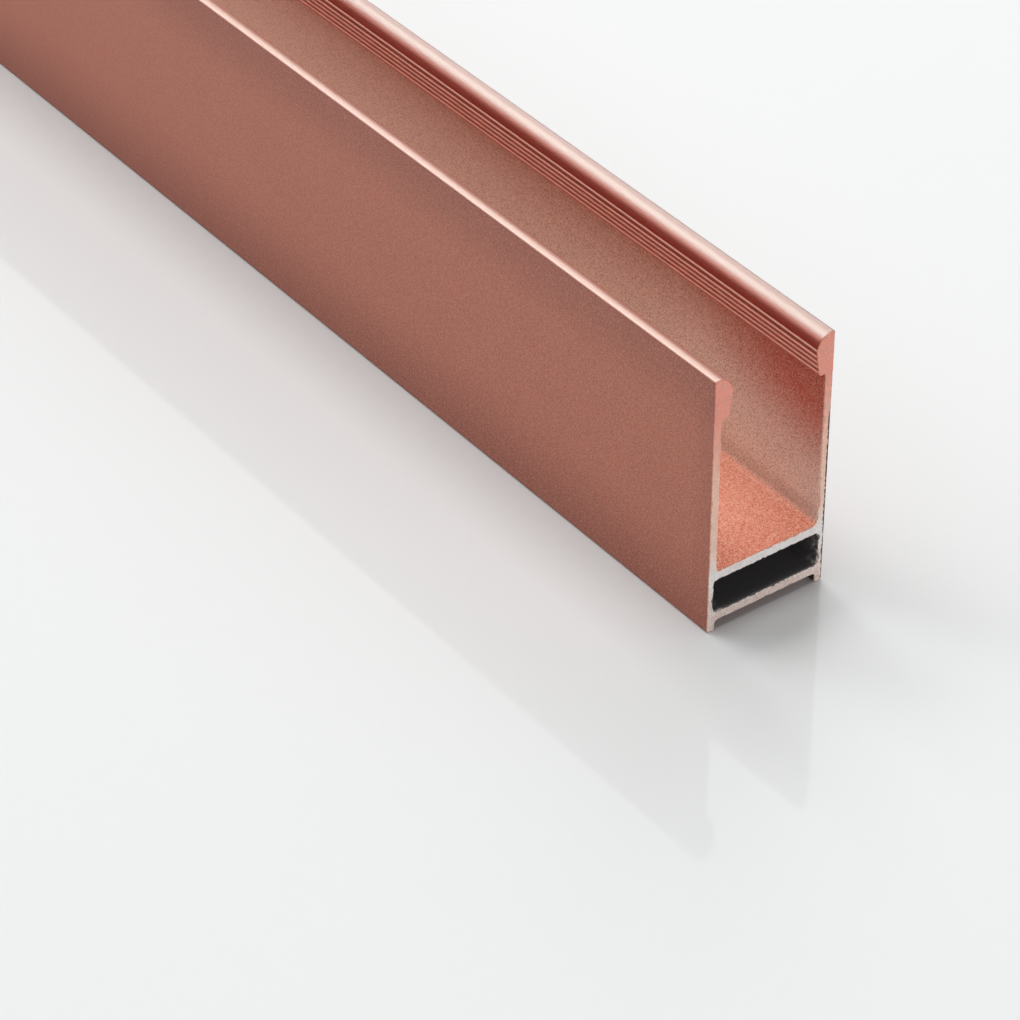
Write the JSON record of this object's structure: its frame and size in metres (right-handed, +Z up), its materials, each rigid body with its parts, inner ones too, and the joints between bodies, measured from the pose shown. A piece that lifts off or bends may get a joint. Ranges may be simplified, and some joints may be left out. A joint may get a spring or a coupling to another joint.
{
  "type": "aluminium extrusion profile",
  "caption": "Straight anodised aluminium extrusion: an open-topped channel with ribbed lips, above a flat hollow chamber with small feet, sawn square at its ends.",
  "frame": {"origin": "middle of the bar, level with the undersides of its feet", "axes": "+X across the channel, +Y along the bar, +Z up out of the open channel"},
  "size_m": [0.018, 1, 0.037],
  "materials": {
    "anodised_aluminium": "satin blasted and anodised in a rose tint, with the sawn ends left bare"
  },
  "bodies": {
    "root": {"profile": "anodised_aluminium"}
  },
  "joints": []
}
